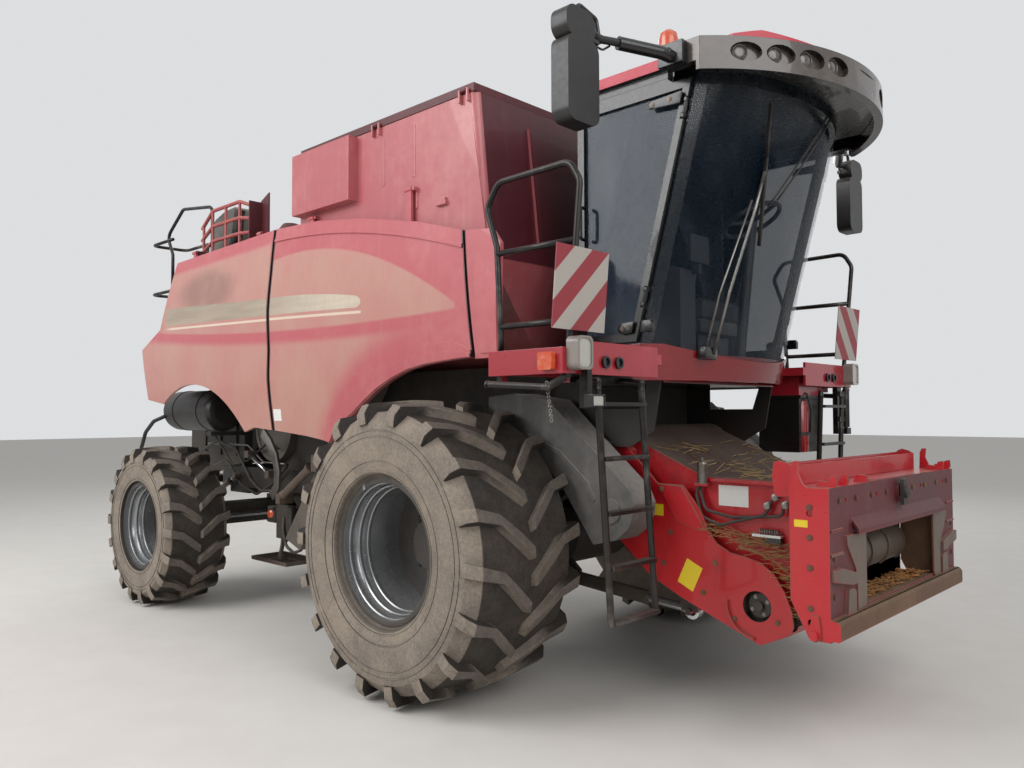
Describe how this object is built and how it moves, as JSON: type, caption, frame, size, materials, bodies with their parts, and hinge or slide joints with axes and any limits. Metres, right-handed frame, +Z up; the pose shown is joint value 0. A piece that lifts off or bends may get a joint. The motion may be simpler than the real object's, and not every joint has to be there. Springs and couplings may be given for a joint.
{
  "type": "combine harvester",
  "caption": "Combine harvester on wheels with cab, grain tank, hinged side panels, folded unloading tube and feeder house, without a header.",
  "frame": {"origin": "on the ground, below the middle of the machine's length and width", "axes": "+X forward, +Y to the machine's left, +Z up"},
  "size_m": [7.65, 3.876, 4.1236],
  "materials": {
    "chassis": "dusty black chassis paint",
    "tyre": "dusty rubber",
    "rim": "silver paint, dusty",
    "faded_panel": "sun-faded red, dusty and matt",
    "red_paint": "red paint",
    "feeder_red": "bright red paint, scratched",
    "dusty_sheet": "grey sheet under dust",
    "steel": "worn steel",
    "glass": "tinted glass",
    "black_plastic": "moulded black plastic",
    "engine_iron": "cast iron",
    "seat_fabric": "dark cloth",
    "worn_rail": "worn grey paint",
    "warning_board": "red and white stripes",
    "lamp_glass": "clear lamp glass",
    "lamp_band": "grey-brown lamp band"
  },
  "bodies": {
    "root": {"frame": "chassis", "front_axle": "chassis", "rear_axle": "chassis", "lower_body": "dusty_sheet", "fuel_tank": "black_plastic", "engine": "engine_iron", "engine_deck": "chassis", "straw_hood": "dusty_sheet", "drive_shields": "dusty_sheet", "rear_panel": "faded_panel", "deck_rails": "red_paint", "grain_tank": "faded_panel", "corner_panels": "faded_panel", "cab_shell": "chassis", "windscreen": "glass", "cab_roof": "red_paint", "roof_lights": "lamp_band", "seat": "seat_fabric", "steering_column": "black_plastic", "platforms": "red_paint", "handrails": "worn_rail", "warning_boards": "warning_board", "headlamps": "lamp_glass", "mirrors": "black_plastic"},
    "spreader_left": {"spreader_disc_left": "steel"},
    "spreader_right": {"spreader_disc_right": "steel"},
    "cover_left": {"tank_cover_left": "red_paint"},
    "cover_right": {"tank_cover_right": "red_paint"},
    "auger": {"unloading_auger": "faded_panel"},
    "panel_front_left": {"side_panel_front_left": "faded_panel"},
    "panel_front_right": {"side_panel_front_right": "faded_panel"},
    "panel_rear_left": {"side_panel_rear_left": "faded_panel"},
    "panel_rear_right": {"side_panel_rear_right": "faded_panel"},
    "door_left": {"cab_door_left": "chassis"},
    "door_right": {"cab_door_right": "chassis"},
    "ladder": {"ladder_left": "worn_rail"},
    "feeder": {"feeder_house": "feeder_red", "feeder_drum": "steel"},
    "adapter": {"adapter_frame": "feeder_red"},
    "lift_barrel": {"lift_barrels": "chassis"},
    "lift_rod": {"lift_rods": "steel"},
    "wheel_front_left": {"tyre_front_left": "tyre", "rim_front_left": "rim"},
    "wheel_front_right": {"tyre_front_right": "tyre", "rim_front_right": "rim"},
    "wheel_rear_left": {"tyre_rear_left": "tyre", "rim_rear_left": "rim"},
    "wheel_rear_right": {"tyre_rear_right": "tyre", "rim_rear_right": "rim"},
    "knuckle_left_body": {"knuckle_left": "chassis"},
    "knuckle_right_body": {"knuckle_right": "chassis"},
    "steering_rod": {"steering_rods": "steel"}
  },
  "joints": [
    {"name": "roll_front_left", "type": "hinge", "parent": "root", "child": "wheel_front_left", "pos_m": [1.375, 1.488, 0.93], "axis": [0, 1, 0], "continuous": true},
    {"name": "steer_left", "type": "hinge", "parent": "root", "child": "knuckle_left_body", "pos_m": [-2.422, 1.12, 0.735], "axis": [0, 0, 1], "range_deg": [-28, 28]},
    {"name": "roll_rear_left", "type": "hinge", "parent": "knuckle_left_body", "child": "wheel_rear_left", "pos_m": [-2.422, 1.534, 0.735], "axis": [0, 1, 0], "continuous": true},
    {"name": "spin_spreader_left", "type": "hinge", "parent": "root", "child": "spreader_left", "pos_m": [-3.505, 0.33, 1.03], "axis": [0, 0, 1], "continuous": true},
    {"name": "cover_left_hinge", "type": "hinge", "parent": "root", "child": "cover_left", "pos_m": [1.15, 1.408, 3.856], "axis": [-1, 0, 0], "range_deg": [0, 90]},
    {"name": "panel_front_left_hinge", "type": "hinge", "parent": "root", "child": "panel_front_left", "pos_m": [0.475, 1.42, 3.31], "axis": [1, 0, 0], "range_deg": [0, 70]},
    {"name": "panel_rear_left_hinge", "type": "hinge", "parent": "root", "child": "panel_rear_left", "pos_m": [-1.525, 1.42, 3.31], "axis": [1, 0, 0], "range_deg": [0, 70]},
    {"name": "door_left_hinge", "type": "hinge", "parent": "root", "child": "door_left", "pos_m": [2.5867, 0.936, 2.14127], "axis": [-0.2588, 0, -0.9659], "range_deg": [0, 75]},
    {"name": "roll_front_right", "type": "hinge", "parent": "root", "child": "wheel_front_right", "pos_m": [1.375, -1.488, 0.93], "axis": [0, 1, 0], "continuous": true},
    {"name": "steer_right", "type": "hinge", "parent": "root", "child": "knuckle_right_body", "pos_m": [-2.422, -1.12, 0.735], "axis": [0, 0, 1], "range_deg": [-28, 28]},
    {"name": "roll_rear_right", "type": "hinge", "parent": "knuckle_right_body", "child": "wheel_rear_right", "pos_m": [-2.422, -1.534, 0.735], "axis": [0, 1, 0], "continuous": true},
    {"name": "spin_spreader_right", "type": "hinge", "parent": "root", "child": "spreader_right", "pos_m": [-3.505, -0.33, 1.03], "axis": [0, 0, 1], "continuous": true},
    {"name": "cover_right_hinge", "type": "hinge", "parent": "root", "child": "cover_right", "pos_m": [1.15, -1.408, 3.856], "axis": [1, 0, 0], "range_deg": [0, 90]},
    {"name": "panel_front_right_hinge", "type": "hinge", "parent": "root", "child": "panel_front_right", "pos_m": [0.475, -1.42, 3.31], "axis": [-1, 0, 0], "range_deg": [0, 70]},
    {"name": "panel_rear_right_hinge", "type": "hinge", "parent": "root", "child": "panel_rear_right", "pos_m": [-1.525, -1.42, 3.31], "axis": [-1, 0, 0], "range_deg": [0, 70]},
    {"name": "door_right_hinge", "type": "hinge", "parent": "root", "child": "door_right", "pos_m": [2.5867, -0.936, 2.14127], "axis": [0.2588, 0, 0.9659], "range_deg": [0, 75]},
    {"name": "steer_rod_slide", "type": "slide", "parent": "root", "child": "steering_rod", "axis": [0, 1, 0], "range_m": [-0.09, 0.09]},
    {"name": "feeder_lift", "type": "hinge", "parent": "root", "child": "feeder", "pos_m": [2.175, 0, 1.52], "axis": [0, -1, 0], "range_deg": [-10, 20]},
    {"name": "adapter_tilt", "type": "hinge", "parent": "feeder", "child": "adapter", "pos_m": [3.575, 0, 1.285], "axis": [1, 0, 0], "range_deg": [-4.5, 4.5]},
    {"name": "lift_barrel_pivot", "type": "hinge", "parent": "root", "child": "lift_barrel", "pos_m": [1.755, 0, 0.64], "axis": [0, -1, 0], "range_deg": [-8, 14]},
    {"name": "lift_rod_slide", "type": "slide", "parent": "lift_barrel", "child": "lift_rod", "axis": [0.9966, 0, -0.0822], "range_m": [-0.17, 0.33]},
    {"name": "auger_swing", "type": "hinge", "parent": "root", "child": "auger", "pos_m": [1.555, 1.645, 3.5], "axis": [0, 0, -1], "range_deg": [0, 100]},
    {"name": "ladder_swing", "type": "hinge", "parent": "root", "child": "ladder", "pos_m": [2.815, 1.645, 1.8], "axis": [0, 0, 1], "range_deg": [0, 90]}
  ],
  "couplings": [
    {"joint": "steer_right", "follows": "steer_left", "ratio": 1},
    {"joint": "steer_rod_slide", "follows": "steer_left", "m_per_rad": 0.1633},
    {"joint": "lift_barrel_pivot", "follows": "feeder_lift", "ratio": 0.62},
    {"joint": "lift_rod_slide", "follows": "feeder_lift", "m_per_rad": 0.892}
  ]
}
